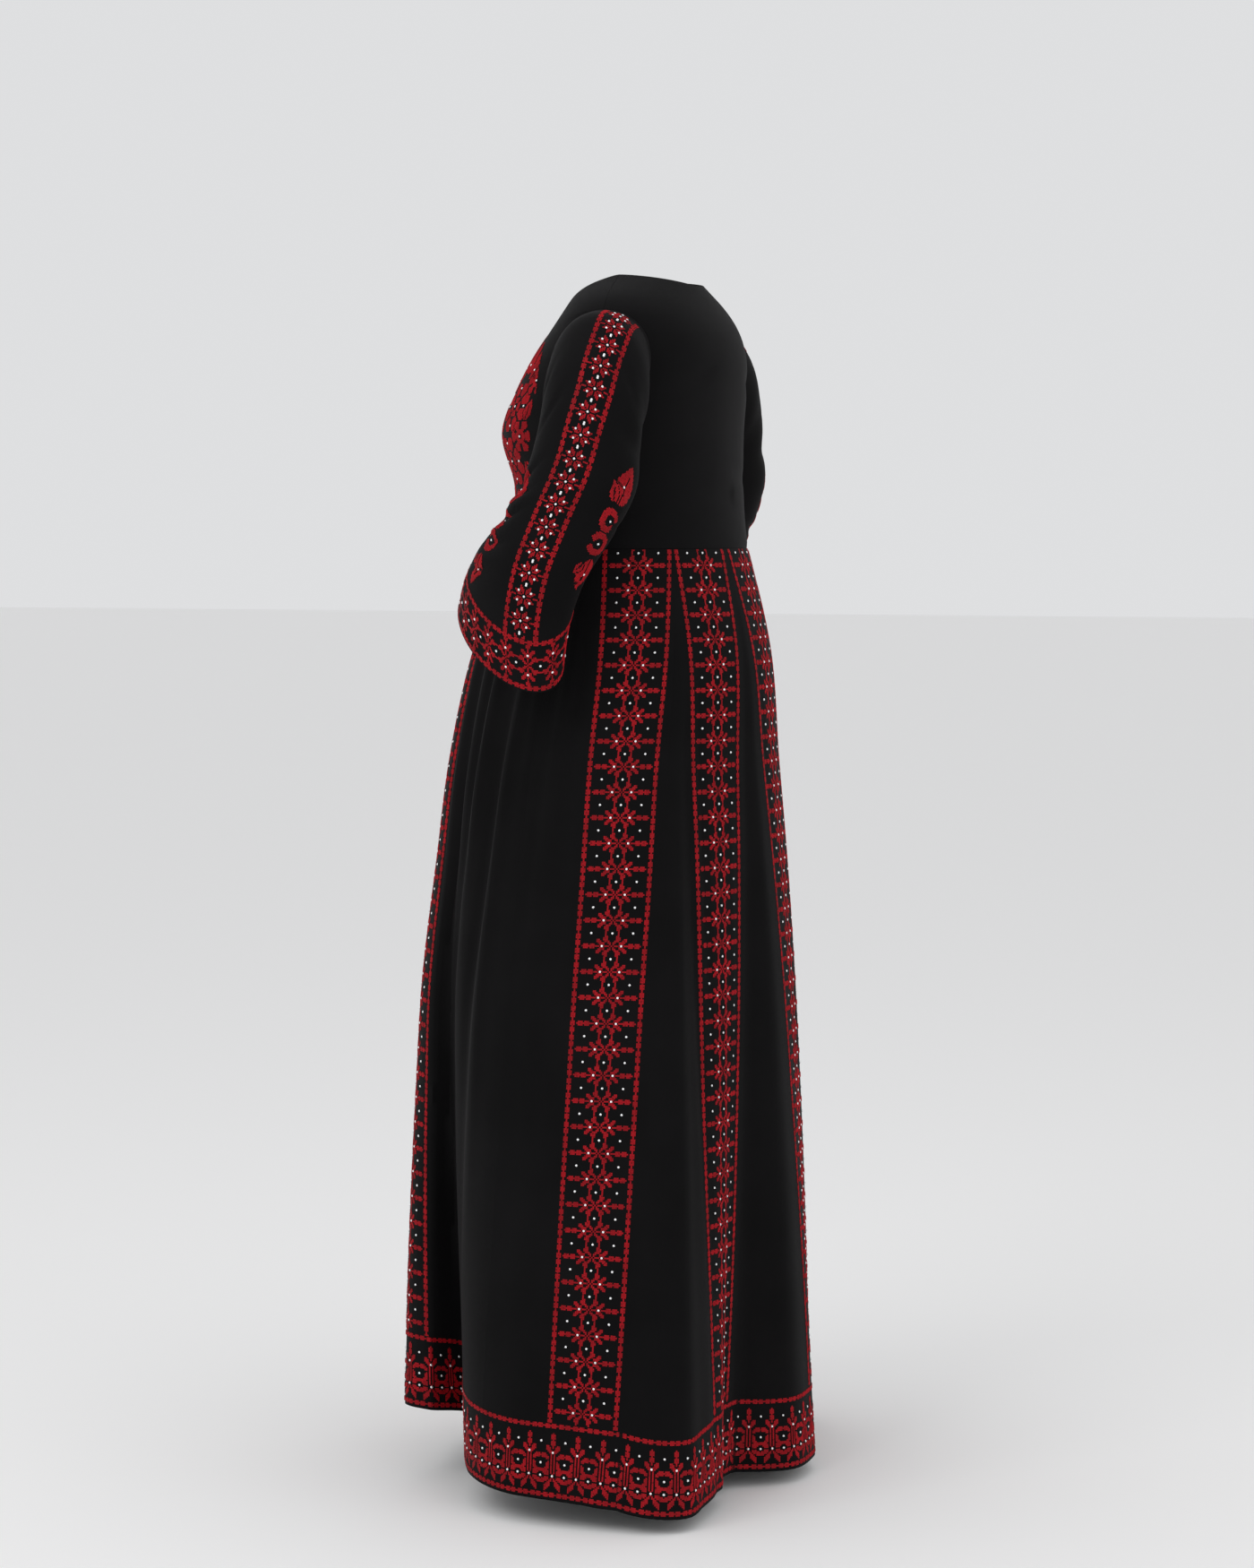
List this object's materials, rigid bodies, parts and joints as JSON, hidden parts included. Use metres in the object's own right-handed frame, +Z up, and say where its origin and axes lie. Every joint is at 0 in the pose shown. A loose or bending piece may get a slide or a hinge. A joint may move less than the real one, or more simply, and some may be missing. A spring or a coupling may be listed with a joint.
{
  "type": "palestinian thobe dress",
  "caption": "Full-length black thobe as worn, hollow, with bent trumpet sleeves and deep red embroidered chest panel, skirt strips, hem, cuffs and sleeve bands.",
  "frame": {"origin": "between the shoulders, on the middle of the neck opening at the height of the shoulder seams", "axes": "+Z up, the front faces -Y, the wearer's left is +X"},
  "size_m": [0.6451, 0.463, 1.3801],
  "materials": {
    "crepe": "matte",
    "embroidery": "satin"
  },
  "bodies": {
    "root": {"bodice_front": "crepe", "bodice_back": "crepe", "skirt_front": "crepe", "skirt_left": "crepe", "skirt_back": "crepe", "skirt_right": "crepe", "sleeve_left": "crepe", "sleeve_right": "crepe", "chest_panel": "embroidery", "hem_band": "embroidery", "sleeve_band_left": "embroidery", "sleeve_band_right": "embroidery", "cuff_band_left": "embroidery", "cuff_band_right": "embroidery", "strip_front_left": "embroidery", "strip_side_left": "embroidery", "strip_back_left": "embroidery", "strip_back": "embroidery", "strip_back_right": "embroidery", "strip_side_right": "embroidery", "strip_front_right": "embroidery"}
  },
  "joints": []
}
